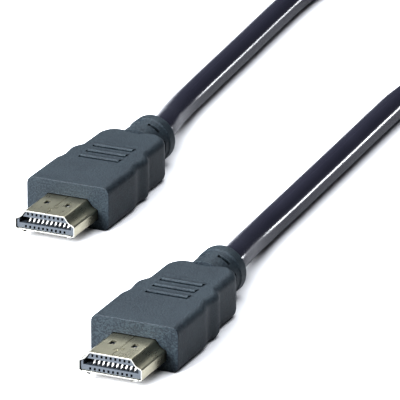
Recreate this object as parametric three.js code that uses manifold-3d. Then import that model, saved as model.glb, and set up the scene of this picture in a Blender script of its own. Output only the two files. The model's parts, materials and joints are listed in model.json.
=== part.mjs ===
import * as THREE from 'three';
import { mergeVertices } from 'three/addons/utils/BufferGeometryUtils.js';
import Module from 'manifold-3d';

// A two metre video cable with a like plug on each end. Its spare length lies wound in a coil.
// Millimetres, +Z up. The plugs' mouths face -Y and the cable leaves them towards +Y.
// The origin is on the floor, midway between the two plugs.

// Metal shell of a plug, a tube with one narrower side, which lies uppermost
const SHELL_WIDTH = 13.9;
const SHELL_HEIGHT = 4.45;
const SHELL_WALL = 0.3;
const SHELL_FLAT = 8.8; // flat of the narrow side
const SHELL_SIDE = 2.5; // height of the upright sides
const SHELL_CORNER = 0.5;
const SHELL_REACH = 11.2; // bare length in front of the overmould
const SHELL_ROOT = 4; // length held inside the overmould
const SHELL_RISE = 2.05; // shell's underside above the floor
const WINDOW_WIDTH = 1.1;
const WINDOW_LENGTH = 1.8;
const WINDOW_SPACING = 4.8;
const WINDOW_SETBACK = 6.4; // from the shell's front edge to a window's middle
const WINDOW_DEPTH = 0.7; // pocket under a window

// Insulator inside the shell
const INSULATOR_SETBACK = 0.35;
const INSULATOR_LIP = 0.55; // front wall that the contact tips rest behind
const FIT = 0.05; // clearance around a piece held by another
const SLOT_WIDTH = 12;
const SLOT_FLAT = 10.6;
const SLOT_FLOOR = 1.5; // above the shell's underside
const SLOT_HEIGHT = 1.4;
const SLOT_DEPTH = 9.6;
const TIP_HOLE_WIDTH = 0.42;
const TIP_HOLE_HEIGHT = 0.55;
const GROOVE_DEPTH = 1;

// Contacts
const CONTACT_PITCH = 1;
const LOWER_CONTACTS = 10;
const UPPER_CONTACTS = 9;
const CONTACT_WIDTH = 0.42;
const CONTACT_THICKNESS = 0.2;
const CONTACT_CLEARANCE = 0.09;
const CONTACT_ARCH = 0.4; // how far the bent tip stands into the slot
const CONTACT_TIP = 1.3; // tip's distance from the insulator's front face
const CONTACT_PEAK = 2.4;
const CONTACT_FOOT = 5.5;

// Moulded body
const BODY_WIDTH = 19.2;
const BODY_HEIGHT = 9.7;
const BODY_LENGTH = 34.2;
const BODY_EDGE = 1.6; // rounding of the long edges
const FRONT_STRAIGHT = 13; // length over which the front block keeps its width
const WAIST_WIDTH = 18;
const WAIST_AT = 17.3;
const SWELL_WIDTH = 18.7;
const SWELL_AT = 20;
const TAIL_WIDTH = 15.9;
const TAIL_AT = 24;
const TAIL_CORNER = 2;

// Grip ridges on the top of the body
const RIDGES = 3;
const RIDGE_LENGTH = 9.4;
const RIDGE_RISE = 0.5;
const RIDGE_RUN = 2.1;
const RIDGE_PITCH = 3.5;
const RIDGE_START = 15.5;

// Strain relief collar, moulded in one with the body
const COLLAR_RADIUS = 5.3;
const COLLAR_NECK = 5.05; // radius between the body and the rim
const COLLAR_LENGTH = 9.2;
const COLLAR_RIM = 3; // length of the rim at the cable's end
const COLLAR_EDGE = 0.6;
const RELIEF_SLOTS = 6;
const RELIEF_SLOT_WIDTH = 1;
const RELIEF_SLOT_DEPTH = 1.2;
const RELIEF_SLOT_AT = 3.8;
const RELIEF_SLOT_SPAN = Math.PI / 5;

// Places of the plugs
const PLUG_SPACING = 45.8;
const PLUG_STAGGER = 64.6;

// Cable, its leads and its coil
const CABLE_DIAMETER = 6;
const CABLE_SIDES = 10;
const CORD_GAP = 0.3;
const LEAD_STEPS = 36;
const COIL_CENTRE = [7, 220.6];
const COIL_MEAN_RADIUS = 36;
const COIL_RINGS = 3;
const COIL_LAYERS = 2;
const COIL_EDGE = 2.6;

// Tie around the coil, at its far right
const TIE_TURN = -Math.PI / 4; // from the coil's far side, seen from above
const TIE_WIDTH = 10;
const TIE_THICKNESS = 0.8;
const TIE_ROOM = 0.8;
const TIE_LIFT = 0.9; // how far the turns are raised over the strap
const TIE_CORNER = 1.2;

const PLUG_LENGTH = SHELL_REACH + BODY_LENGTH + COLLAR_LENGTH;
const CABLE_RADIUS = CABLE_DIAMETER / 2;
const CABLE_HEIGHT = COLLAR_RADIUS; // axis above the floor where the cable leaves a plug
const COIL_HALF = (COIL_RINGS * CABLE_DIAMETER) / 2;
const COIL_HEIGHT = COIL_LAYERS * CABLE_DIAMETER;
const CURVE_STEPS = 6;

// Routes of the two leads, from a plug's collar to the coil
const LEAD_A = [
  [-22.9, 59.9, 5.3], [-23.3, 63.8, 5.2], [-24.3, 68.6, 4.8], [-26.1, 75.6, 4], [-27.75, 83.6, 3.3],
  [-28.8, 91.6, 3], [-29.95, 104.6, 3], [-31.2, 119.6, 3], [-32.5, 134.6, 3], [-33.8, 149.6, 3],
  [-34.7, 162, 3], [-35.1, 176, 3], [-35, 196.6, 3],
];
const LEAD_B = [
  [22.9, -4.7, 5.3], [22.6, -0.8, 5.2], [21.85, 4, 4.8], [20.6, 11, 4], [19.55, 19, 3.3],
  [18.85, 27, 3], [18.2, 40, 3], [17.4, 55, 3], [16.6, 70, 3], [15.75, 85, 3], [15.1, 97, 3],
  [14.7, 108, 3], [15.7, 122, 3], [19.4, 137, 3], [26.2, 151.5, 3], [34.8, 165.5, 3.1],
  [42.4, 179.3, 4.1], [46.7, 192.7, 6.3],
];

const wasm = await Module();
wasm.setup();

// Solids and their meshes

function solidOf(geometry) {
  const bare = geometry.clone();
  bare.deleteAttribute('normal');
  bare.deleteAttribute('uv');
  const merged = mergeVertices(bare, 1e-4);
  return new wasm.Manifold(new wasm.Mesh({
    numProp: 3,
    vertProperties: new Float32Array(merged.attributes.position.array),
    triVerts: new Uint32Array(merged.index.array),
  }));
}

function geometryOf(solid) {
  const { vertProperties, triVerts } = solid.getMesh();
  const geometry = new THREE.BufferGeometry();
  geometry.setAttribute('position', new THREE.BufferAttribute(vertProperties, 3));
  geometry.setIndex(new THREE.BufferAttribute(triVerts, 1));
  geometry.computeVertexNormals();
  return geometry;
}

function mesh(name, geometry, material) {
  const piece = new THREE.Mesh(geometry, material);
  piece.name = name;
  return piece;
}

// A front view outline, in x and z, drawn out from y = from to y = to
function alongY(shape, from, to, curveSegments = CURVE_STEPS) {
  const geometry = new THREE.ExtrudeGeometry(shape, { depth: to - from, bevelEnabled: false, curveSegments });
  return geometry.rotateX(Math.PI / 2).translate(0, to, 0);
}

// A side view outline, in y and z, drawn out across x about x = middle
function alongX(shape, middle, width) {
  const geometry = new THREE.ExtrudeGeometry(shape, { depth: width, bevelEnabled: false });
  const turn = new THREE.Matrix4().makeBasis(
    new THREE.Vector3(0, 1, 0), new THREE.Vector3(0, 0, 1), new THREE.Vector3(1, 0, 0));
  return geometry.applyMatrix4(turn).translate(middle - width / 2, 0, 0);
}

function box(x, y, z) {
  return solidOf(new THREE.BoxGeometry(x[1] - x[0], y[1] - y[0], z[1] - z[0]).translate(
    (x[0] + x[1]) / 2, (y[0] + y[1]) / 2, (z[0] + z[1]) / 2));
}

// Plug: every height here is above the shell's underside

// The shell's outline, moved inwards by inset
function shellOutline(inset, Path = THREE.Shape) {
  const half = SHELL_WIDTH / 2 - inset;
  const flat = SHELL_FLAT / 2 - inset / 2;
  const top = SHELL_HEIGHT - inset;
  const side = SHELL_SIDE - inset * 0.7;
  const corner = SHELL_CORNER;
  const bend = (half - flat) * 0.55;
  const outline = new Path();
  outline.moveTo(-half + corner, inset);
  outline.lineTo(half - corner, inset);
  outline.quadraticCurveTo(half, inset, half, inset + corner);
  outline.lineTo(half, side - corner);
  outline.quadraticCurveTo(half, side, half - corner, side + corner * 0.1);
  outline.bezierCurveTo(half - bend - corner, side + corner * 0.2, flat + bend * 0.7, top, flat, top);
  outline.lineTo(-flat, top);
  outline.bezierCurveTo(-flat - bend * 0.7, top, -half + bend + corner, side + corner * 0.2,
    -half + corner, side + corner * 0.1);
  outline.quadraticCurveTo(-half, side, -half, side - corner);
  outline.lineTo(-half, inset + corner);
  outline.quadraticCurveTo(-half, inset, -half + corner, inset);
  return outline;
}

function windowSpan(side, top, depth) {
  const middle = (side * WINDOW_SPACING) / 2;
  return box(
    [middle - WINDOW_WIDTH / 2, middle + WINDOW_WIDTH / 2],
    [WINDOW_SETBACK - WINDOW_LENGTH / 2, WINDOW_SETBACK + WINDOW_LENGTH / 2],
    [top - depth, top + depth]);
}

function shellSolid() {
  const outline = shellOutline(0);
  outline.holes.push(shellOutline(SHELL_WALL, THREE.Path));
  let shell = solidOf(alongY(outline, 0, SHELL_REACH + SHELL_ROOT));
  for (const side of [-1, 1]) shell = shell.subtract(windowSpan(side, SHELL_HEIGHT, SHELL_WALL * 2));
  return shell;
}

// The two rows of contacts: each has its x places and the height of its slot face, with up or down
const SLOT_ROOF = SLOT_FLOOR + SLOT_HEIGHT;
const CONTACT_ROWS = [
  { name: 'lower', count: LOWER_CONTACTS, face: SLOT_FLOOR, into: 1 },
  { name: 'upper', count: UPPER_CONTACTS, face: SLOT_ROOF, into: -1 },
];

function contactX(row, i) {
  return (i - (row.count - 1) / 2) * CONTACT_PITCH;
}

// Lowest and highest of two heights, however they are ordered
function span(a, b) {
  return [Math.min(a, b), Math.max(a, b)];
}

function slotOutline() {
  const outline = new THREE.Shape();
  const bevel = (SLOT_WIDTH - SLOT_FLAT) / 2;
  outline.moveTo(-SLOT_WIDTH / 2, SLOT_FLOOR);
  outline.lineTo(SLOT_WIDTH / 2, SLOT_FLOOR);
  outline.lineTo(SLOT_WIDTH / 2, SLOT_ROOF - bevel);
  outline.lineTo(SLOT_FLAT / 2, SLOT_ROOF);
  outline.lineTo(-SLOT_FLAT / 2, SLOT_ROOF);
  outline.lineTo(-SLOT_WIDTH / 2, SLOT_ROOF - bevel);
  outline.closePath();
  return outline;
}

function insulatorSolid() {
  const front = INSULATOR_SETBACK;
  const lip = front + INSULATOR_LIP;
  let insulator = solidOf(alongY(shellOutline(SHELL_WALL + FIT), front, SHELL_REACH + SHELL_ROOT));
  insulator = insulator.subtract(solidOf(alongY(slotOutline(), front - 1, front + SLOT_DEPTH)));
  const half = CONTACT_WIDTH / 2 + CONTACT_CLEARANCE;
  for (const row of CONTACT_ROWS) {
    const bed = row.face - row.into * GROOVE_DEPTH;
    for (let i = 0; i < row.count; i += 1) {
      const x = contactX(row, i);
      const groove = box([x - half, x + half], [lip, front + SLOT_DEPTH], span(bed, row.face + row.into * 0.1));
      const hole = box([x - TIP_HOLE_WIDTH / 2, x + TIP_HOLE_WIDTH / 2], [front - 1, lip + 0.1],
        span(bed, bed + row.into * TIP_HOLE_HEIGHT));
      insulator = insulator.subtract(groove).subtract(hole);
    }
  }
  for (const side of [-1, 1]) {
    insulator = insulator.subtract(windowSpan(side, SHELL_HEIGHT - SHELL_WALL, WINDOW_DEPTH - SHELL_WALL));
  }
  return insulator;
}

// A bent strip that lies in its groove and arches into the slot near the mouth
function contactGeometry(row, i) {
  const lift = CONTACT_THICKNESS / 2 + CONTACT_CLEARANCE;
  const bed = row.face - row.into * (GROOVE_DEPTH - lift);
  const path = [
    [CONTACT_TIP, bed + row.into * 0.1],
    [CONTACT_PEAK, row.face + row.into * (CONTACT_ARCH - CONTACT_THICKNESS / 2)],
    [CONTACT_PEAK + 0.6, row.face + row.into * (CONTACT_ARCH / 2 - CONTACT_THICKNESS / 2)],
    [CONTACT_FOOT, bed],
    [SLOT_DEPTH - CONTACT_CLEARANCE, bed],
  ];
  const outline = new THREE.Shape();
  path.forEach(([y, z]) => outline.lineTo(INSULATOR_SETBACK + y, z - CONTACT_THICKNESS / 2));
  [...path].reverse().forEach(([y, z]) => outline.lineTo(INSULATOR_SETBACK + y, z + CONTACT_THICKNESS / 2));
  outline.curves.shift();
  outline.closePath();
  return alongX(outline, contactX(row, i), CONTACT_WIDTH);
}

// Moulded body: every y here is behind the body's front face, and every height above the floor

// Half widths of the body at the places where its sides swell and draw in
function sidePoints(sign) {
  return [
    [BODY_WIDTH, FRONT_STRAIGHT], [WAIST_WIDTH, WAIST_AT], [SWELL_WIDTH, SWELL_AT], [TAIL_WIDTH, TAIL_AT],
  ].map(([width, y]) => new THREE.Vector2((sign * width) / 2, y));
}

function bodySolid() {
  const over = BODY_EDGE * 2;
  const right = sidePoints(1);
  const left = sidePoints(-1).reverse();
  const plan = new THREE.Shape();
  plan.moveTo(-BODY_WIDTH / 2, -over);
  plan.lineTo(BODY_WIDTH / 2, -over);
  plan.lineTo(right[0].x, right[0].y);
  plan.splineThru(right.slice(1));
  plan.lineTo(TAIL_WIDTH / 2, BODY_LENGTH + over);
  plan.lineTo(-TAIL_WIDTH / 2, BODY_LENGTH + over);
  plan.lineTo(left[0].x, left[0].y);
  plan.splineThru(left.slice(1));
  plan.closePath();
  const block = new THREE.ExtrudeGeometry(plan, {
    depth: BODY_HEIGHT - 2 * BODY_EDGE,
    bevelThickness: BODY_EDGE,
    bevelSize: BODY_EDGE,
    bevelOffset: -BODY_EDGE,
    bevelSegments: 4,
    curveSegments: 4,
  }).translate(0, 0, BODY_EDGE);
  return solidOf(block).intersect(solidOf(trimPrism()));
}

// Cuts the body's front face flat and rounds its rear corners
function trimPrism() {
  const wide = BODY_WIDTH;
  const tail = TAIL_WIDTH / 2;
  const trim = new THREE.Shape();
  trim.moveTo(-wide, 0);
  trim.lineTo(wide, 0);
  trim.lineTo(wide, BODY_LENGTH - TAIL_CORNER * 1.5);
  trim.lineTo(tail + TAIL_CORNER * 0.6, BODY_LENGTH - TAIL_CORNER * 1.5);
  trim.quadraticCurveTo(tail, BODY_LENGTH, tail - TAIL_CORNER, BODY_LENGTH);
  trim.lineTo(-tail + TAIL_CORNER, BODY_LENGTH);
  trim.quadraticCurveTo(-tail, BODY_LENGTH, -tail - TAIL_CORNER * 0.6, BODY_LENGTH - TAIL_CORNER * 1.5);
  trim.lineTo(-wide, BODY_LENGTH - TAIL_CORNER * 1.5);
  trim.closePath();
  return new THREE.ExtrudeGeometry(trim, {
    depth: BODY_HEIGHT + 2, bevelEnabled: false, curveSegments: CURVE_STEPS,
  }).translate(0, 0, -1);
}

function ridgeSolid(i) {
  const y = RIDGE_START + i * RIDGE_PITCH;
  const wedge = new THREE.Shape();
  wedge.moveTo(y, BODY_HEIGHT - RIDGE_RISE);
  wedge.lineTo(y + RIDGE_RUN, BODY_HEIGHT - RIDGE_RISE);
  wedge.lineTo(y + RIDGE_RUN, BODY_HEIGHT);
  wedge.lineTo(y, BODY_HEIGHT + RIDGE_RISE);
  wedge.closePath();
  return solidOf(alongX(wedge, 0, RIDGE_LENGTH));
}

function collarSolid() {
  const end = COLLAR_LENGTH;
  const rim = end - COLLAR_RIM;
  const profile = [
    [0, -COLLAR_EDGE], [COLLAR_NECK, -COLLAR_EDGE], [COLLAR_NECK, rim - COLLAR_EDGE / 2],
    [COLLAR_RADIUS, rim], [COLLAR_RADIUS, end - COLLAR_EDGE],
    [COLLAR_RADIUS - COLLAR_EDGE * 0.3, end - COLLAR_EDGE * 0.3], [COLLAR_RADIUS - COLLAR_EDGE, end], [0, end],
  ].map(([r, y]) => new THREE.Vector2(r, y));
  let collar = solidOf(new THREE.LatheGeometry(profile, 40));
  for (let i = 0; i < RELIEF_SLOTS; i += 1) {
    const middle = (i * 2 * Math.PI) / RELIEF_SLOTS;
    const sector = new THREE.Shape();
    sector.absarc(0, 0, COLLAR_NECK + 1, middle - RELIEF_SLOT_SPAN / 2, middle + RELIEF_SLOT_SPAN / 2, false);
    sector.absarc(0, 0, COLLAR_NECK - RELIEF_SLOT_DEPTH, middle + RELIEF_SLOT_SPAN / 2,
      middle - RELIEF_SLOT_SPAN / 2, true);
    sector.closePath();
    const from = RELIEF_SLOT_AT - RELIEF_SLOT_WIDTH / 2;
    collar = collar.subtract(solidOf(alongY(sector, from, from + RELIEF_SLOT_WIDTH, 4)));
  }
  return collar.translate(0, BODY_LENGTH, CABLE_HEIGHT);
}

function overmouldSolid() {
  let overmould = bodySolid().add(collarSolid());
  for (let i = 0; i < RIDGES; i += 1) overmould = overmould.add(ridgeSolid(i));
  const socket = solidOf(alongY(shellOutline(-FIT), -1, SHELL_ROOT + FIT)).translate(0, 0, SHELL_RISE);
  return overmould.subtract(socket);
}

// Materials

const nickel = new THREE.MeshStandardMaterial({ color: 0x96927d, roughness: 0.3, metalness: 1 });
const housing = new THREE.MeshStandardMaterial({ color: 0x8593a8, roughness: 0.5, metalness: 0 });
const contactMetal = new THREE.MeshStandardMaterial({ color: 0xd8d5d2, roughness: 0.25, metalness: 1 });
const overmouldVinyl = new THREE.MeshStandardMaterial({ color: 0x4a545b, roughness: 0.65, metalness: 0 });
const jacketVinyl = new THREE.MeshStandardMaterial({ color: 0x25262f, roughness: 0.4, metalness: 0 });
const strapFabric = new THREE.MeshStandardMaterial({ color: 0x1c1c20, roughness: 0.9, metalness: 0 });

function plug(letter, x, y) {
  const group = new THREE.Group();
  const inner = new THREE.Group();
  inner.position.z = SHELL_RISE;
  inner.add(mesh(`plug_${letter}_shell`, geometryOf(shellSolid()), nickel));
  inner.add(mesh(`plug_${letter}_insulator`, geometryOf(insulatorSolid()), housing));
  for (const row of CONTACT_ROWS) {
    for (let i = 0; i < row.count; i += 1) {
      const name = `plug_${letter}_contact_${row.name}_${i + 1}`;
      inner.add(mesh(name, contactGeometry(row, i), contactMetal));
    }
  }
  const overmould = mesh(`plug_${letter}_overmould`, geometryOf(overmouldSolid()), overmouldVinyl);
  overmould.position.y = SHELL_REACH;
  group.add(inner, overmould);
  group.position.set(x, y - PLUG_LENGTH / 2, 0);
  return group;
}

// Cable

function leadGeometry(points) {
  const section = new THREE.Shape();
  for (let i = 0; i <= CABLE_SIDES; i += 1) {
    const turn = (i / CABLE_SIDES) * 2 * Math.PI;
    const point = [CABLE_RADIUS * Math.cos(turn), CABLE_RADIUS * Math.sin(turn)];
    if (i === 0) section.moveTo(...point);
    else section.lineTo(...point);
  }
  const route = new THREE.CatmullRomCurve3(points.map((p) => new THREE.Vector3(...p)));
  return new THREE.ExtrudeGeometry(section, { steps: LEAD_STEPS, extrudePath: route, bevelEnabled: false });
}

// The wound turns as one ring with rounded edges, with a channel across it for the tie
function coilSolid() {
  const inner = COIL_MEAN_RADIUS - COIL_HALF;
  const outer = COIL_MEAN_RADIUS + COIL_HALF;
  const profile = [
    [inner, COIL_EDGE], [inner + COIL_EDGE * 0.3, COIL_EDGE * 0.3], [inner + COIL_EDGE, 0],
    [outer - COIL_EDGE, 0], [outer - COIL_EDGE * 0.3, COIL_EDGE * 0.3], [outer, COIL_EDGE],
    [outer, COIL_HEIGHT - COIL_EDGE], [outer - COIL_EDGE * 0.3, COIL_HEIGHT - COIL_EDGE * 0.3],
    [outer - COIL_EDGE, COIL_HEIGHT], [inner + COIL_EDGE, COIL_HEIGHT],
    [inner + COIL_EDGE * 0.3, COIL_HEIGHT - COIL_EDGE * 0.3], [inner, COIL_HEIGHT - COIL_EDGE],
    [inner, COIL_EDGE],
  ].map(([r, z]) => new THREE.Vector2(r, z));
  const ring = solidOf(new THREE.LatheGeometry(profile, 64).rotateX(Math.PI / 2));
  const half = TIE_WIDTH / 2 + TIE_ROOM;
  const channel = box([-half, half], [0, outer + 1], [-1, TIE_THICKNESS + CORD_GAP]);
  return ring.subtract(channel).rotate(0, 0, THREE.MathUtils.radToDeg(TIE_TURN)).translate(...COIL_CENTRE, 0);
}

// A closed strap around the coil's section
function tieGeometry() {
  const near = COIL_MEAN_RADIUS - COIL_HALF - TIE_ROOM;
  const far = COIL_MEAN_RADIUS + COIL_HALF + TIE_ROOM;
  const low = TIE_THICKNESS;
  const high = COIL_HEIGHT + TIE_LIFT + CORD_GAP;
  const band = roundedBox(near - low, far + low, 0, high + low, TIE_CORNER + low, THREE.Shape);
  band.holes.push(roundedBox(near, far, low, high, TIE_CORNER, THREE.Path));
  return alongX(band, 0, TIE_WIDTH).rotateZ(TIE_TURN).translate(...COIL_CENTRE, 0);
}

function roundedBox(x0, x1, y0, y1, radius, Path) {
  const outline = new Path();
  outline.absarc(x1 - radius, y0 + radius, radius, -Math.PI / 2, 0, false);
  outline.absarc(x1 - radius, y1 - radius, radius, 0, Math.PI / 2, false);
  outline.absarc(x0 + radius, y1 - radius, radius, Math.PI / 2, Math.PI, false);
  outline.absarc(x0 + radius, y0 + radius, radius, Math.PI, 1.5 * Math.PI, false);
  outline.closePath();
  return outline;
}

const cable = new THREE.Group();
cable.add(plug('a', -PLUG_SPACING / 2, PLUG_STAGGER / 2));
cable.add(plug('b', PLUG_SPACING / 2, -PLUG_STAGGER / 2));
cable.add(mesh('cable_lead_a', leadGeometry(LEAD_A), jacketVinyl));
cable.add(mesh('cable_lead_b', leadGeometry(LEAD_B), jacketVinyl));
cable.add(mesh('cable_coil', geometryOf(coilSolid()), jacketVinyl));
cable.add(mesh('coil_tie', tieGeometry(), strapFabric));

export default cable;
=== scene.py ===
# %% [markdown]
# # A video cable with two plugs
# This lesson dresses a measured model of a cable that has a plug at each end. The model is loaded first and
# never moved or reshaped. Around it, the cable, the moulded bodies, the metal shells and the strap are
# modelled with the operators that an artist would use by hand. The insulators and contacts only get a
# finish.

# %% Tools and the measured model
import json
import math

import bmesh
import bpy
from mathutils import Matrix, Vector

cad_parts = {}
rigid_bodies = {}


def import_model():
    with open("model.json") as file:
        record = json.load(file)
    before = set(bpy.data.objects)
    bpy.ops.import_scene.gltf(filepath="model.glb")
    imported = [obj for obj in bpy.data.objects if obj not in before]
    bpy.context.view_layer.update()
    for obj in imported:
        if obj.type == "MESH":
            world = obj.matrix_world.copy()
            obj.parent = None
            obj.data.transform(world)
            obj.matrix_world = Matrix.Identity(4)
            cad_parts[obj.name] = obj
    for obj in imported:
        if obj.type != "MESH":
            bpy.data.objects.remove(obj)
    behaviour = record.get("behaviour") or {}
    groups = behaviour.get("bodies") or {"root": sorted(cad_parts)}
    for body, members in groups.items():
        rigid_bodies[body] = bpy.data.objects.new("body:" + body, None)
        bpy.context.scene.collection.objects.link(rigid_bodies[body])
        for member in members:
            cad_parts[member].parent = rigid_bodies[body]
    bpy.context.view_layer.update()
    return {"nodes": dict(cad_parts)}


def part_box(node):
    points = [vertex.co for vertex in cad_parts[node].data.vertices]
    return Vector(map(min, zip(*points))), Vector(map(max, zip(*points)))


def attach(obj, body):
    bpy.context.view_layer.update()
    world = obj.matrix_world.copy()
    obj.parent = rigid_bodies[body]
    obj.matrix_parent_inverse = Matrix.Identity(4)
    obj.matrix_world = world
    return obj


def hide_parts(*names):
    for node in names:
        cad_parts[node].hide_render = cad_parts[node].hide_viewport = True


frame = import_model()
MM = 0.001
print("the measured model holds", len(frame["nodes"]), "pieces")

# %% [markdown]
# ## The camera
# The picture looks down on the plugs from the front right. A long lens at 1.2 m keeps both plugs nearly the
# same size. The camera is aimed by an angle and a distance from the point that it looks at, so that each of
# these can be changed alone.

# %% Camera
AZIMUTH = math.radians(24.5)
ELEVATION = math.radians(20.9)
DISTANCE = 1.2
LOOK_AT = Vector((5.73, 20.8, 8.6)) * MM
LENS = 515
SENSOR_WIDTH = 36

bpy.ops.object.select_all(action="DESELECT")
level = math.cos(ELEVATION)
away = Vector((math.sin(AZIMUTH) * level, -math.cos(AZIMUTH) * level, math.sin(ELEVATION)))
bpy.ops.object.camera_add(location=LOOK_AT + away * DISTANCE)
camera = bpy.context.object
camera.rotation_euler = (-away).to_track_quat("-Z", "Y").to_euler()
camera.data.lens = LENS
camera.data.sensor_width = SENSOR_WIDTH
camera.data.clip_start = 0.05
bpy.context.scene.camera = camera
print("camera at", [round(value, 3) for value in camera.location])

# %% [markdown]
# ## The route of the cable
# The cable is one piece from plug to plug. Each end leaves its collar a little above the floor, sinks to it
# and lies loose. The spare length is wound into a coil of two layers: the lower one winds inwards and the
# upper one outwards again. The ends are given point by point, and a loop works out the turns.

# %% Route of the two ends
CABLE_DIAMETER = 6.0
LEAD_A = [
    (-22.9, 59.9, 5.3), (-23.3, 63.8, 5.2), (-24.3, 68.6, 4.8), (-26.1, 75.6, 4), (-27.75, 83.6, 3.3),
    (-28.8, 91.6, 3), (-29.95, 104.6, 3), (-31.2, 119.6, 3), (-32.5, 134.6, 3), (-33.8, 149.6, 3),
    (-34.7, 162, 3), (-35.1, 176, 3), (-35, 196.6, 3),
]
LEAD_B = [
    (22.9, -4.7, 5.3), (22.6, -0.8, 5.2), (21.85, 4, 4.8), (20.6, 11, 4), (19.55, 19, 3.3),
    (18.85, 27, 3), (18.2, 40, 3), (17.4, 55, 3), (16.6, 70, 3), (15.75, 85, 3), (15.1, 97, 3),
    (14.7, 108, 3), (15.7, 122, 3), (19.4, 137, 3), (26.2, 151.5, 3), (34.8, 165.5, 3.1),
    (42.4, 179.3, 4.1), (46.7, 192.7, 6.3),
]
INTO_COIL = [(-35, 208.6, 3)]
OUT_OF_COIL = [(49, 211.6, 9), (48.4, 202.6, 8.3)]
print("points of the ends:", len(LEAD_A), "and", len(LEAD_B))

# %% [markdown]
# A coil wound by hand runs inwards by about a cable's width a turn, changes to the upper layer near its inner
# side, and runs out again. The inmost turns share some of their room here. Where the strap holds the turns,
# they rise a little over its lower part.

# %% Turns of the coil
COIL_CENTRE = Vector((7, 220.6, 0))
COIL_MEAN_RADIUS = 36.0
COIL_TURNS = 6.5
POINTS_A_TURN = 16
TIE_ANGLE = math.pi / 4
TIE_LIFT = 0.9
TIE_REACH = 0.3


def coil_point(turn):
    """A point of the winding, which runs clockwise from the coil's left side."""
    ring = min(turn, COIL_TURNS - turn)
    radius = COIL_MEAN_RADIUS + CABLE_DIAMETER * (1 - min(ring, 2))
    layer = min(max((turn - COIL_TURNS / 2) * 2 + 0.5, 0), 1)
    angle = math.pi - turn * 2 * math.pi
    to_tie = math.atan2(math.sin(angle - TIE_ANGLE), math.cos(angle - TIE_ANGLE))
    height = CABLE_DIAMETER * (0.5 + layer) + TIE_LIFT * math.exp(-((to_tie / TIE_REACH) ** 2))
    return COIL_CENTRE + Vector((radius * math.cos(angle), radius * math.sin(angle), height))


turns = [coil_point(step / POINTS_A_TURN) for step in range(int(COIL_TURNS * POINTS_A_TURN) + 1)]
route = [Vector(point) for point in LEAD_A + INTO_COIL] + turns
route += [Vector(point) for point in OUT_OF_COIL + LEAD_B[::-1]]
straight = sum((b - a).length for a, b in zip(route, route[1:])) * MM
print("the route's points are", round(straight, 3), "m long from collar to collar")

# %% [markdown]
# ## The cable
# A jacket is pressed around the wires in one long run, so it has the same round section everywhere. A curve
# with a round bevel says just that, and follows the route by itself. Its thickness sits in the points'
# radius, with a bevel of one metre, because Blender counts that radius in the curve's box.

# %% Cable
bpy.ops.curve.primitive_bezier_curve_add()
cable = bpy.context.object
cable.name = "cable"
cable.data.splines.clear()
spline = cable.data.splines.new("BEZIER")
spline.bezier_points.add(len(route) - 1)
for knot, place in zip(spline.bezier_points, route):
    knot.co = place * MM
    knot.handle_left_type = knot.handle_right_type = "AUTO"
    knot.radius = CABLE_DIAMETER / 2 * MM
spline.resolution_u = 6
cable.data.bevel_depth = 1.0
cable.data.bevel_resolution = 6
cable.data.use_fill_caps = True
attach(cable, "root")
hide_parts("cable_lead_a", "cable_lead_b", "cable_coil")
print("cable points:", len(spline.bezier_points))

# %% [markdown]
# ## Small helpers for modelling
# Each piece starts as a primitive at its size. Its faces and edges are then picked by their place, and the
# edit mode operators shape them. Numbers given to these helpers are millimetres.

# %% Adding a primitive


def cube(name, low, high):
    """Adds a box between two corners and leaves it active."""
    bpy.ops.object.select_all(action="DESELECT")
    middle = (Vector(low) + Vector(high)) / 2 * MM
    bpy.ops.mesh.primitive_cube_add(size=1, location=middle)
    piece = bpy.context.object
    piece.name = name
    piece.scale = (Vector(high) - Vector(low)) * MM
    bpy.ops.object.transform_apply(location=True, rotation=True, scale=True)
    return piece


def cylinder(name, middle, radius, low, high, sides=64, ends="NGON"):
    """Adds a cylinder along y between two depths."""
    bpy.ops.object.select_all(action="DESELECT")
    place = Vector((middle[0], (low + high) / 2, middle[1])) * MM
    bpy.ops.mesh.primitive_cylinder_add(
        vertices=sides, radius=radius * MM, depth=(high - low) * MM, end_fill_type=ends,
        location=place, rotation=(math.pi / 2, 0, 0))
    piece = bpy.context.object
    piece.name = name
    bpy.ops.object.transform_apply(location=True, rotation=True, scale=True)
    return piece


# %% [markdown]
# By hand, one would click on the parts to change. In code, a test on each point's place does the picking.

# %% Picking and shaping


def near(a, b, room=0.02):
    return abs(a - b) < room


def only(piece):
    bpy.ops.object.select_all(action="DESELECT")
    piece.select_set(True)
    bpy.context.view_layer.objects.active = piece


def edit(piece):
    only(piece)
    bpy.ops.object.mode_set(mode="EDIT")


def leave():
    bpy.ops.object.mode_set(mode="OBJECT")


def pick(piece, kind, test):
    """In edit mode, selects only the verts, edges or faces whose points all pass the test."""
    mesh = bmesh.from_edit_mesh(piece.data)
    bpy.ops.mesh.select_all(action="DESELECT")
    bpy.ops.mesh.select_mode(type={"verts": "VERT", "edges": "EDGE", "faces": "FACE"}[kind])
    for part in getattr(mesh, kind):
        points = [part.co] if kind == "verts" else [point.co for point in part.verts]
        part.select_set(all(test(point / MM) for point in points))
    mesh.select_flush_mode()
    bmesh.update_edit_mesh(piece.data)


def cut(place, normal):
    """Cuts the whole mesh along a plane."""
    bpy.ops.mesh.select_all(action="SELECT")
    bpy.ops.mesh.bisect(plane_co=Vector(place) * MM, plane_no=normal)


def resize_at(piece, y, factors, middle):
    """Scales the points at one depth about a middle point."""
    pick(piece, "verts", lambda point: near(point.y, y))
    bpy.ops.transform.resize(value=factors, center_override=Vector((middle[0], y, middle[1])) * MM)


# %% [markdown]
# A modifier does the work that would take many clicks. It is then applied, so that the piece is plain mesh.

# %% Modifiers, applied


def finish_with(piece, kind, **settings):
    """Adds a modifier and applies it."""
    only(piece)
    modifier = piece.modifiers.new(kind.title(), kind)
    for key, value in settings.items():
        setattr(modifier, key, value)
    bpy.ops.object.modifier_apply(modifier=modifier.name)


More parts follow.
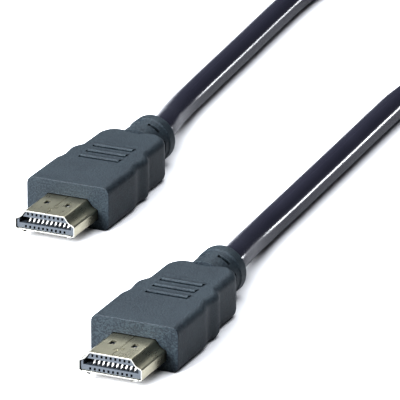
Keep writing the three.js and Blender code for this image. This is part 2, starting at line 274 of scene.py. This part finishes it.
def combine(piece, other, operation):
    """Joins or subtracts another solid, which is then removed."""
    finish_with(piece, "BOOLEAN", object=other, operation=operation, solver="EXACT")
    bpy.data.objects.remove(other)


def soften(piece, degrees):
    """Smooth shading up to an angle, with the large flat faces kept flat."""
    only(piece)
    bpy.ops.object.shade_smooth_by_angle(angle=math.radians(degrees))
    finish_with(piece, "WEIGHTED_NORMAL", keep_sharp=True)


# %% [markdown]
# ## The overmould's body
# On a real plug, soft vinyl is injected around the wires and the tail of the shell. The mould gives it a
# front block, a waist and a swell for the fingers, and a narrower tail with rounded corners. Its height is
# the same all along, so the body is a block cut at many depths, and each depth is scaled to the outline.

# %% Body outline
BODY_HALF = 9.6
BODY_HEIGHT = 9.7
BODY_LENGTH = 34.2
OUTLINE = [
    (12.4, 9.6), (13.2, 9.57), (14.0, 9.42), (14.8, 9.2), (15.6, 9.02), (16.4, 8.95), (17.2, 8.98),
    (18.0, 9.08), (18.9, 9.2), (19.8, 9.28), (20.5, 9.26), (21.1, 9.1), (21.7, 8.78), (22.3, 8.42),
    (22.9, 8.14), (23.6, 7.99), (24.4, 7.95), (30.8, 7.95), (31.8, 7.86), (32.7, 7.55), (33.4, 7.05),
    (33.9, 6.4), (34.2, 5.7),
]
body = cube("overmould", (-BODY_HALF, 0, 0), (BODY_HALF, BODY_LENGTH, BODY_HEIGHT))
edit(body)
for y, half in OUTLINE[:-1]:
    cut((0, y, 0), (0, 1, 0))
for y, half in OUTLINE:
    resize_at(body, y, (half / BODY_HALF, 1, 1), (0, 0))
leave()
print("outline of the body:", len(OUTLINE), "depths")

# %% [markdown]
# The edges around the flat ends are nearly crisp, and the long edges are rounded for the hand. A bevel of
# five steps makes the wide round. The front and rear edges get a narrow one, which catches the light as a
# thin line.

# %% Body edges
EDGE_ROUNDING = 1.6
FRONT_ROUNDING = 0.22
REAR_ROUNDING = 0.5
edit(body)
mesh = bmesh.from_edit_mesh(body.data)
bpy.ops.mesh.select_all(action="DESELECT")
bpy.ops.mesh.select_mode(type="EDGE")
for edge in mesh.edges:
    ends = [point.co / MM for point in edge.verts]
    runs_along = near(ends[0].z, ends[1].z) and not near(ends[0].y, ends[1].y)
    edge.select_set(runs_along)
bmesh.update_edit_mesh(body.data)
bpy.ops.mesh.bevel(offset=EDGE_ROUNDING * MM, segments=5, profile=0.5)
pick(body, "edges", lambda point: near(point.y, 0))
bpy.ops.mesh.bevel(offset=FRONT_ROUNDING * MM, segments=2, profile=0.5)
pick(body, "edges", lambda point: near(point.y, BODY_LENGTH))
bpy.ops.mesh.bevel(offset=REAR_ROUNDING * MM, segments=4, profile=0.5)
leave()
print("body faces:", len(body.data.polygons))

# %% [markdown]
# Three wedges stand on the top as a grip for the thumb. The front of each one leans over a narrow channel,
# and its back runs down towards the body. The lean keeps the front dark, so the ridge reads as a line from
# afar. Each wedge is a box with moved points and beveled ends. It joins the body after its channel is cut.

# %% Grip ridges
RIDGE_STARTS = (15.5, 19.0, 22.5)
RIDGE_HALF = 4.7
RIDGE_RUN = 2.1
RIDGE_TOP = 10.2
RIDGE_DROP = 0.6
RIDGE_LEAN = 0.45
RIDGE_ROOT = 9.2
CHANNEL_WIDTH = 0.6
CHANNEL_FLOOR = 9.1
CHANNEL_UNDER = 0.3
for start in RIDGE_STARTS:
    end = start + RIDGE_RUN
    ridge = cube("ridge", (-RIDGE_HALF, start, RIDGE_ROOT), (RIDGE_HALF, end, RIDGE_TOP))
    edit(ridge)
    pick(ridge, "verts", lambda point: near(point.y, end) and near(point.z, RIDGE_TOP))
    bpy.ops.transform.translate(value=(0, 0, -RIDGE_DROP * MM))
    pick(ridge, "edges", lambda point: near(abs(point.x), RIDGE_HALF) and near(point.y, start))
    bpy.ops.mesh.bevel(offset=0.5 * MM, segments=3)
    pick(ridge, "verts", lambda point: near(point.z, RIDGE_TOP) and point.y < start + 0.6)
    bpy.ops.transform.translate(value=(0, -RIDGE_LEAN * MM, 0))
    pick(ridge, "edges", lambda point: point.z > 10.0)
    bpy.ops.mesh.bevel(offset=0.12 * MM, segments=2)
    leave()
    low = (-RIDGE_HALF, start - CHANNEL_WIDTH, CHANNEL_FLOOR)
    channel = cube("channel", low, (RIDGE_HALF, start + CHANNEL_UNDER, 10.0))
    combine(body, channel, "DIFFERENCE")
    combine(body, ridge, "UNION")
print("body faces with ridges:", len(body.data.polygons))

# %% [markdown]
# ## The strain relief collar
# The collar keeps the cable from a sharp bend at the plug. It is moulded in one shot with the body, and is
# round like the cable. So it starts as a cylinder, and its depths are scaled to a profile: a neck, a thicker
# rim and a rounded end.

# %% Collar
AXIS = (0, 5.3)
RIM_RADIUS = 5.3
COLLAR_START = 33.4
COLLAR_END = 43.4
PROFILE = [
    (39.8, 5.05), (40.2, 5.12), (40.45, 5.3), (42.7, 5.3), (43.0, 5.22), (43.22, 5.04), (COLLAR_END, 4.7),
]
collar = cylinder("collar", AXIS, RIM_RADIUS, COLLAR_START, COLLAR_END)
edit(collar)
for y, radius in PROFILE[:-1]:
    cut((0, y, 0), (0, 1, 0))
for y, radius in [(COLLAR_START, 5.05)] + PROFILE:
    resize_at(collar, y, (radius / RIM_RADIUS, 1, radius / RIM_RADIUS), AXIS)
leave()
print("collar faces:", len(collar.data.polygons))

# %% [markdown]
# Six slots around the neck let it bend with the cable. Each slot's cutter is a piece of a tube: an open
# cylinder, of which only an arc is kept, with a wall given by Solidify. A shallow recess where the cable
# enters and a fine bevel finish the collar before it joins the body.

# %% Slots in the collar
SLOTS = 6
SLOT_HALF_ANGLE = math.radians(18)
SLOT_FLOOR_RADIUS = 3.85
SLOT_START = 37.5
SLOT_END = 38.5
RECESS_RADIUS = 3.3
for turn in range(SLOTS):
    slot = cylinder("slot", AXIS, SLOT_FLOOR_RADIUS, SLOT_START, SLOT_END, sides=60, ends="NOTHING")
    edit(slot)
    mesh = bmesh.from_edit_mesh(slot.data)
    bpy.ops.mesh.select_mode(type="FACE")
    for face in mesh.faces:
        middle = face.calc_center_median() / MM
        angle = math.atan2(middle.z - AXIS[1], middle.x) - turn * 2 * math.pi / SLOTS
        face.select_set(math.cos(angle) < math.cos(SLOT_HALF_ANGLE))
    bmesh.update_edit_mesh(slot.data)
    bpy.ops.mesh.delete(type="FACE")
    leave()
    finish_with(slot, "SOLIDIFY", thickness=2 * MM, offset=1)
    combine(collar, slot, "DIFFERENCE")
combine(collar, cylinder("recess", AXIS, RECESS_RADIUS, 43.0, 44.0), "DIFFERENCE")
fine = {"width": 0.12 * MM, "segments": 2, "limit_method": "ANGLE", "angle_limit": math.radians(50)}
finish_with(collar, "BEVEL", **fine)
combine(body, collar, "UNION")
print("body faces with collar:", len(body.data.polygons))

# %% [markdown]
# ## The metal shell
# The real shell is thin nickel-plated sheet, folded into a tube with a narrow side on top. Its shoulder is a
# curve, so the block's top is cut into columns, and each column is lowered to the curve. One function makes
# this block for both the shell and the socket that holds it.

# %% Outline of the shell
SHELL_HALF = 6.95
SHELL_HEIGHT = 4.45
SHELL_LENGTH = 15.2
SHELL_RISE = 2.05
SHOULDER_FOOT = 2.46
SHOULDER = [
    (4.4, 4.45), (4.65, 4.36), (4.9, 4.1), (5.15, 3.74), (5.4, 3.38), (5.7, 3.08), (6.07, 2.84), (6.5, 2.64),
    (SHELL_HALF, SHOULDER_FOOT),
]


def shell_block(name, low, high, grow=0.0):
    """A solid with the shell's outline between two depths, grown outwards by a clearance."""
    block = cube(name, (-SHELL_HALF, low, 0), (SHELL_HALF, high, SHELL_HEIGHT))
    edit(block)
    for x, z in SHOULDER[:-1]:
        cut((x, 0, 0), (1, 0, 0))
        cut((-x, 0, 0), (1, 0, 0))
    for x, z in SHOULDER:
        pick(block, "verts", lambda point: near(abs(point.x), x) and near(point.z, SHELL_HEIGHT))
        bpy.ops.transform.translate(value=(0, 0, (z - SHELL_HEIGHT) * MM))
    pick(block, "edges", lambda point: near(abs(point.x), SHELL_HALF) and near(point.z, 0))
    bpy.ops.mesh.bevel(offset=0.5 * MM, segments=3)
    pick(block, "edges", lambda point: near(abs(point.x), SHELL_HALF) and near(point.z, SHOULDER_FOOT))
    bpy.ops.mesh.bevel(offset=0.25 * MM, segments=2)
    bpy.ops.mesh.select_all(action="SELECT")
    wide = (1 + grow / SHELL_HALF, 1, 1 + 2 * grow / SHELL_HEIGHT)
    bpy.ops.transform.resize(value=wide, center_override=Vector((0, 0, SHELL_HEIGHT / 2)) * MM)
    leave()
    return block


# %% [markdown]
# The socket is the shell's outline with a tenth of a millimetre to spare, cut into the body's front. With it
# the body is complete, and its shading is made smooth.

# %% Socket in the body
CLEARANCE = 0.1
SOCKET_DEPTH = 4.1
socket = shell_block("socket", -15, SOCKET_DEPTH, grow=CLEARANCE)
socket.data.transform(Matrix.Translation(Vector((0, 0, SHELL_RISE)) * MM))
combine(body, socket, "DIFFERENCE")
soften(body, 32)
print("overmould faces:", len(body.data.polygons))

# %% [markdown]
# To become a sheet, the block loses its end faces, and Solidify gives the rest a wall. The wall grows
# inwards, because the outside is what fits a real socket. A tiny bevel breaks the cut edges.

# %% Shell sheet
WALL = 0.3
shell = shell_block("shell", 0, SHELL_LENGTH)
edit(shell)
for end in (0, SHELL_LENGTH):
    pick(shell, "faces", lambda point: near(point.y, end))
    bpy.ops.mesh.delete(type="FACE")
leave()
finish_with(shell, "SOLIDIFY", thickness=WALL * MM, offset=-1, use_even_offset=True)
broken = {"width": 0.06 * MM, "segments": 2, "limit_method": "ANGLE", "angle_limit": math.radians(75)}
finish_with(shell, "BEVEL", **broken)
print("shell faces:", len(shell.data.polygons))

# %% [markdown]
# Two square windows are punched in the narrow side, where a device's springs catch the plug. Each is a box
# taken from the sheet.

# %% Windows
WINDOW_X = 2.4
WINDOW_HALF = 0.55
WINDOW_START = 5.5
WINDOW_END = 7.3
for x in (-WINDOW_X, WINDOW_X):
    low = (x - WINDOW_HALF, WINDOW_START, 4.0)
    window = cube("window", low, (x + WINDOW_HALF, WINDOW_END, 5.0))
    combine(shell, window, "DIFFERENCE")
print("shell faces with windows:", len(shell.data.polygons))

# %% [markdown]
# The folded sheet's two edges meet in a seam along the middle of the narrow side. A tab of one edge locks in
# the other. The seam is a hairline, so thin boxes along its path are cut as a groove.

# %% Seam
SEAM = [
    (0.2, 15.0), (0.2, 4.4), (1.15, 4.4), (0.95, 3.65), (-0.4, 3.65), (-0.6, 2.9), (0.2, 2.9), (0.2, -1.0),
]
GROOVE = 0.12
for (x1, y1), (x2, y2) in zip(SEAM, SEAM[1:]):
    half_length = (math.hypot(x2 - x1, y2 - y1) + GROOVE) / 2
    middle = Vector(((x1 + x2) / 2, (y1 + y2) / 2, SHELL_HEIGHT))
    low = middle - Vector((half_length, GROOVE / 2, GROOVE))
    groove = cube("groove", low, middle + Vector((half_length, GROOVE / 2, 0.2)))
    turned = Matrix.Rotation(math.atan2(y2 - y1, x2 - x1), 4, "Z")
    place = Matrix.Translation(middle * MM)
    groove.data.transform(place @ turned @ place.inverted())
    combine(shell, groove, "DIFFERENCE")
soften(shell, 30)
print("shell faces with seam:", len(shell.data.polygons))

# %% [markdown]
# ## The two plugs
# Both plugs come from the same moulds, so each finished piece is modelled once and copied. A copy has its own
# mesh, is moved inside it, and takes the place of the measured model's plain piece. Its place comes from the
# measured shell's box.

# %% Copies at the two plugs


def placed(piece, name, node, shift):
    """A copy with its own mesh, moved inside that mesh and tied to the model's piece that it replaces."""
    copy = piece.copy()
    copy.data = piece.data.copy()
    copy.name = name
    bpy.context.collection.objects.link(copy)
    copy.data.transform(Matrix.Translation(shift))
    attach(copy, "root")
    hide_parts(node)
    return copy


REACH = 11.2
pieces = []
for letter in ("a", "b"):
    low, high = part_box(f"plug_{letter}_shell")
    mouth = Vector(((low.x + high.x) / 2, low.y, 0))
    to_body = mouth + Vector((0, REACH, 0)) * MM
    to_shell = mouth + Vector((0, 0, SHELL_RISE)) * MM
    node = f"plug_{letter}_overmould"
    pieces.append(placed(body, f"overmould_{letter}", node, to_body))
    node = f"plug_{letter}_shell"
    pieces.append(placed(shell, f"shell_{letter}", node, to_shell))
    print("plug", letter, "has its mouth at", [round(value / MM, 2) for value in mouth])
for master in (body, shell):
    bpy.data.objects.remove(master)

# %% [markdown]
# ## The strap around the coil
# A hook and loop strap holds the turns. It passes once around them and then lies over itself. In section it
# is a ribbon along a rounded path, so the path is drawn as a flat curve, and the curve's extrusion gives the
# ribbon its width.

# %% Path of the strap
STRAP_HALF_WIDTH = 5.0
STRAP_THICKNESS = 0.5


def corner(r, z, radius, start):
    """Points of a clockwise quarter round, from an angle in quarter turns."""
    steps = [math.radians(90 * start - 15 * step) for step in range(7)]
    return [(r + radius * math.cos(angle), z + radius * math.sin(angle)) for angle in steps]


strap_path = [(36, 13.2), (40, 13.2)] + corner(44.4, 11.6, 1.6, 1) + corner(44.4, 1.9, 1.6, 0)
strap_path += corner(27.6, 1.9, 1.6, 3) + corner(27.6, 11.6, 1.6, 2)
strap_path += [(30, 13.2), (32, 13.25), (34.5, 13.6), (36.5, 13.74)]
strap_path += corner(44.6, 11.9, 1.9, 1) + [(46.5, 6)]
print("strap path:", len(strap_path), "points")

# %% [markdown]
# The curve becomes a mesh, stands up on its edge and turns to its place on the coil. Solidify gives it the
# thickness of the fabric, half to each side.

# %% Strap
bpy.ops.curve.primitive_bezier_curve_add()
strap = bpy.context.object
strap.name = "strap"
strap.data.dimensions = "2D"
strap.data.fill_mode = "NONE"
strap.data.splines.clear()
spline = strap.data.splines.new("POLY")
spline.points.add(len(strap_path) - 1)
for knot, (r, z) in zip(spline.points, strap_path):
    knot.co = (r * MM, z * MM, 0, 1)
strap.data.extrude = STRAP_HALF_WIDTH * MM
only(strap)
bpy.ops.object.convert(target="MESH")
upright = Matrix.Rotation(math.pi / 2, 4, "X")
turned = Matrix.Rotation(TIE_ANGLE, 4, "Z")
strap.data.transform(Matrix.Translation(COIL_CENTRE * MM) @ turned @ upright)
finish_with(strap, "SOLIDIFY", thickness=STRAP_THICKNESS * MM, offset=0)
selvedge = {"width": 0.12 * MM, "segments": 2, "limit_method": "ANGLE", "angle_limit": math.radians(60)}
finish_with(strap, "BEVEL", **selvedge)
soften(strap, 40)
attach(strap, "root")
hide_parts("coil_tie")
print("strap faces:", len(strap.data.polygons))

# %% [markdown]
# ## Shader maths in plain Python
# A small class wraps a node's output. Adding or multiplying two of them adds a Math node, so a pattern reads
# like arithmetic. Every other node comes from the one method named node.

# %% A socket that takes operators


class Wire:
    """An output socket that Python's operators join to numbers and to other sockets."""

    def __init__(self, tree, socket):
        self.tree = tree
        self.socket = socket

    @classmethod
    def node(cls, tree, kind, settings, values, output=0):
        made = tree.nodes.new(kind)
        for key, value in settings.items():
            if key == "stops":
                for element, (place, colour) in zip(made.color_ramp.elements, value):
                    element.position = place
                    element.color = (*colour, 1)
            else:
                setattr(made, key, value)
        for key, value in values.items():
            if isinstance(value, Wire):
                tree.links.new(value.socket, made.inputs[key])
            else:
                made.inputs[key].default_value = value
        return cls(tree, made.outputs[output])

    def maths(self, operation, *values):
        return Wire.node(self.tree, "ShaderNodeMath", {"operation": operation}, dict(enumerate(values)))

    def __add__(self, other):
        return self.maths("ADD", self, other)

    __radd__ = __add__

    def __mul__(self, other):
        return self.maths("MULTIPLY", self, other)

    __rmul__ = __mul__

    def __sub__(self, other):
        return self.maths("SUBTRACT", self, other)

    def __rsub__(self, other):
        return self.maths("SUBTRACT", other, self)


# %% [markdown]
# Four short functions cover what all the finishes share: a material with its shader, noise, bump, and a blend
# of two colours. Each pattern reads the piece's own coordinates, so it stays on the piece when that moves.

# %% Parts of a finish


def start_material(name):
    """A material with a Principled shader, its tree and the piece's own coordinates."""
    material = bpy.data.materials.new(name)
    material.use_nodes = True
    tree = material.node_tree
    tree.nodes.clear()
    shader = tree.nodes.new("ShaderNodeBsdfPrincipled")
    output = tree.nodes.new("ShaderNodeOutputMaterial")
    tree.links.new(shader.outputs[0], output.inputs[0])
    place = Wire.node(tree, "ShaderNodeTexCoord", {}, {}, "Object")
    return material, tree, shader, place


def feed(tree, shader, values):
    """Sets the shader's sockets to numbers, or links them."""
    for key, value in values.items():
        if isinstance(value, Wire):
            tree.links.new(value.socket, shader.inputs[key])
        else:
            shader.inputs[key].default_value = value


def noise(tree, place, scale, detail):
    values = {"Vector": place, "Scale": scale, "Detail": detail}
    return Wire.node(tree, "ShaderNodeTexNoise", {}, values)


def bump(tree, height, distance, strength):
    values = {"Height": height, "Distance": distance, "Strength": strength}
    return Wire.node(tree, "ShaderNodeBump", {}, values)


def blend_colours(tree, factor, dark, light):
    return Wire.node(tree, "ShaderNodeValToRGB", {"stops": [(0, dark), (1, light)]}, {0: factor})


# %% [markdown]
# ## Finishes
# ### Overmould vinyl
# The body is soft slate vinyl from a mould with a fine etched grain. Up close it is a field of small pits
# that scatter light, with slow clouds from the flow of the melt. One noise drives the speckle, the roughness
# and the bump together, because on the real surface they are the same pits.

# %% Overmould vinyl
VINYL, tree, shader, place = start_material("overmould_vinyl")
grain = noise(tree, place, 2900, 2)
cloud = noise(tree, place, 160, 2)
speckle = (grain - 0.5) * 4.5 + cloud
feed(tree, shader, {
    "Base Color": blend_colours(tree, speckle, (0.005, 0.0085, 0.0125), (0.0165, 0.024, 0.029)),
    "Roughness": grain * 0.16 + 0.5,
    "Specular IOR Level": 0.25,
    "Normal": bump(tree, grain, 0.0001, 0.9),
})
print("made", VINYL.name)

# %% [markdown]
# ### Cable jacket
# The jacket is near black vinyl that leaves a polished die, so it is much smoother than the moulded body and
# shows a sharp streak of light. A weak, slow wave keeps that streak from being perfectly straight.

# %% Cable jacket
JACKET, tree, shader, place = start_material("cable_jacket")
grain = noise(tree, place, 1400, 2)
wave = noise(tree, place, 90, 1)
feed(tree, shader, {
    "Base Color": blend_colours(tree, wave, (0.012, 0.012, 0.018), (0.017, 0.017, 0.024)),
    "Roughness": grain * 0.06 + 0.18,
    "Specular IOR Level": 0.05,
    "Normal": bump(tree, grain * 0.4 + wave * 0.6, 0.00004, 0.5),
})
print("made", JACKET.name)

# %% [markdown]
# ### Shell nickel
# The sheet is drawn and then plated with nickel of a warm, olive tint. The press leaves fine marks along the
# shell. So one noise is stretched along y and drives the roughness and a very low bump, and a slow cloud
# changes the tint.

# %% Shell nickel
NICKEL, tree, shader, place = start_material("shell_nickel")
stretched = Wire.node(tree, "ShaderNodeMapping", {}, {"Vector": place, "Scale": (1, 0.06, 1)})
draw_marks = noise(tree, stretched, 5200, 3)
cloud = noise(tree, place, 220, 2)
feed(tree, shader, {
    "Base Color": blend_colours(tree, cloud, (0.315, 0.3, 0.23), (0.39, 0.37, 0.285)),
    "Metallic": 1.0,
    "Roughness": draw_marks * 0.1 + cloud * 0.06 + 0.21,
    "Normal": bump(tree, draw_marks, 0.00001, 0.5),
})
print("made", NICKEL.name)

# %% [markdown]
# ### Sheared edge
# The rim around the mouth was sheared before plating. It is rougher and greyer than the faces, so the rim's
# flat front is dull, and only its beveled edge shines. A fine noise stands for the torn grain of the cut.

# %% Sheared edge
EDGE, tree, shader, place = start_material("sheared_edge")
marks = noise(tree, place, 6000, 2)
feed(tree, shader, {
    "Base Color": blend_colours(tree, marks, (0.2, 0.2, 0.19), (0.27, 0.27, 0.26)),
    "Metallic": 0.7,
    "Roughness": marks * 0.15 + 0.35,
})
print("made", EDGE.name)

# %% [markdown]
# ### Insulator plastic
# The insulator is a hard moulded plastic in a cool grey. It is matt with hardly any pattern, so a fine grain
# moves the colour and the roughness only a little.

# %% Insulator plastic
PLASTIC, tree, shader, place = start_material("insulator_plastic")
grain = noise(tree, place, 3000, 2)
feed(tree, shader, {
    "Base Color": blend_colours(tree, grain, (0.028, 0.034, 0.041), (0.038, 0.045, 0.054)),
    "Roughness": grain * 0.1 + 0.42,
    "Normal": bump(tree, grain, 0.00002, 0.4),
})
print("made", PLASTIC.name)

# %% [markdown]
# ### Contact plating
# The contacts are thin plated strips inside the slot, where little light comes. They would be nearly black as
# a pure mirror, so the plating is taken as satin: partly metallic, bright, and fairly rough.

# %% Contact plating
PLATING, tree, shader, place = start_material("contact_plating")
grain = noise(tree, place, 4000, 2)
feed(tree, shader, {
    "Base Color": blend_colours(tree, grain, (0.6, 0.59, 0.57), (0.7, 0.69, 0.67)),
    "Metallic": 0.35,
    "Roughness": grain * 0.1 + 0.4,
})
print("made", PLATING.name)

# %% [markdown]
# ### Tie fabric
# The strap is a pile of small loops. Cells of a Voronoi texture stand for the loops, and raise the bump at
# their edges, which is enough for a fabric that is seen only from afar.

# %% Tie fabric
FABRIC, tree, shader, place = start_material("tie_fabric")
weave = Wire.node(tree, "ShaderNodeTexVoronoi", {}, {"Vector": place, "Scale": 1800.0})
feed(tree, shader, {
    "Base Color": blend_colours(tree, weave, (0.012, 0.012, 0.014), (0.03, 0.03, 0.034)),
    "Roughness": 0.85,
    "Normal": bump(tree, weave, 0.0002, 0.7),
})
print("made", FABRIC.name)

# %% [markdown]
# ## Giving out the finishes
# The pieces' names say what they are, so a word in the name chooses the finish. This also covers the measured
# insulators and contacts, which keep their own meshes.

# %% Finishes on the pieces
cable.data.materials.append(JACKET)
FINISHES = {"shell": NICKEL, "insulator": PLASTIC, "overmould": VINYL, "contact": PLATING, "strap": FABRIC}
for piece in pieces + [strap] + list(frame["nodes"].values()):
    for word, material in FINISHES.items():
        if word in piece.name:
            piece.data.materials.clear()
            piece.data.materials.append(material)
print("finishes:", sorted(FINISHES))

# %% [markdown]
# The flat front of each shell's rim gets the sheared edge as a second material. These faces are the ones at
# the shell's lowest y that face the front.

# %% Sheared rims
RIM_DEPTH = 0.03
for piece in pieces:
    if "shell" not in piece.name:
        continue
    piece.data.materials.append(EDGE)
    front = min(point.co.y for point in piece.data.vertices)
    for face in piece.data.polygons:
        if face.center.y < front + RIM_DEPTH * MM and face.normal.y < -0.9:
            face.material_index = 1
    print(piece.name, "rim faces:", sum(face.material_index for face in piece.data.polygons))

# %% [markdown]
# ## The cord's facts
# The length is a stock length of 2.0 m over the plugs. The drawn route is some 6% shorter, because the
# coil has whole and half turns only.

# %% The cord's start
print("the cord leaves its collar at", [round(value, 1) for value in route[0]])

# %% [markdown]
# ## The floor
# The cable lies on plain pale paper. The paper isn't part of the cable.

# %% Floor
FLOOR_SIZE = 6
bpy.ops.mesh.primitive_plane_add(size=FLOOR_SIZE, location=(0, 0, 0))
floor = bpy.context.object
floor.name = "floor"
paper, paper_tree, paper_shader, _ = start_material("floor_paper")
feed(paper_tree, paper_shader, {"Base Color": (0.53, 0.53, 0.54, 1), "Roughness": 0.9})
floor.data.materials.append(paper)
print("floor of", FLOOR_SIZE, "m")

# %% [markdown]
# ## The light
# A broad soft light overhead whitens the paper, and a smaller one at the front left lights the plugs' faces.
# A dim bluish sky fills the rest, as a white studio room would.

# %% Sky and soft lights
world = bpy.data.worlds.new("studio")
bpy.context.scene.world = world
world.use_nodes = True
world.node_tree.nodes["Background"].inputs["Color"].default_value = (0.82, 0.9, 1, 1)
world.node_tree.nodes["Background"].inputs["Strength"].default_value = 0.18


def soft_light(name, direction, distance, size, energy):
    """An area light that faces the plugs from a direction. Its distance and size are in metres."""
    place = LOOK_AT + Vector(direction).normalized() * distance
    bpy.ops.object.light_add(type="AREA", location=place)
    light = bpy.context.object
    light.name = name
    light.data.shape = "RECTANGLE"
    light.data.size, light.data.size_y = size
    light.data.energy = energy
    light.data.color = (0.95, 0.97, 1.0)
    light.rotation_euler = (LOOK_AT - place).to_track_quat("-Z", "Y").to_euler()
    return light


overhead = soft_light("overhead", (-0.15, 0.1, 1), 1.0, (1.6, 1.6), 40)
front_light = soft_light("front", (-0.45, -1, 0.45), 1.2, (0.6, 0.6), 54)
print("soft lights:", overhead.name, "and", front_light.name)

# %% [markdown]
# A long cable seen nearly along its run mirrors what stands low behind it. A wide, low bar of light there
# draws a thin streak along both ends. Light linking keeps it off the shells, where it would burn a white
# spot, and lets it pass the coil, which would cut the streak off.

# %% Streak along the cable
streak = soft_light("streak", (0.424, 0.905, 0.03), 2.0, (0.4, 0.05), 15)
lit = bpy.data.collections.new("lit by the streak")
lit.objects.link(cable)
streak.light_linking.receiver_collection = lit
shading = bpy.data.collections.new("shading the streak")
shading.objects.link(floor)
streak.light_linking.blocker_collection = shading

# %% [markdown]
# The standard view shows colours as they are mixed. Its stronger contrast gives the paper a clean white and
# the vinyl its depth.

# %% View
bpy.context.scene.view_settings.view_transform = "Standard"
bpy.context.scene.view_settings.look = "High Contrast"
print("view:", bpy.context.scene.view_settings.look)
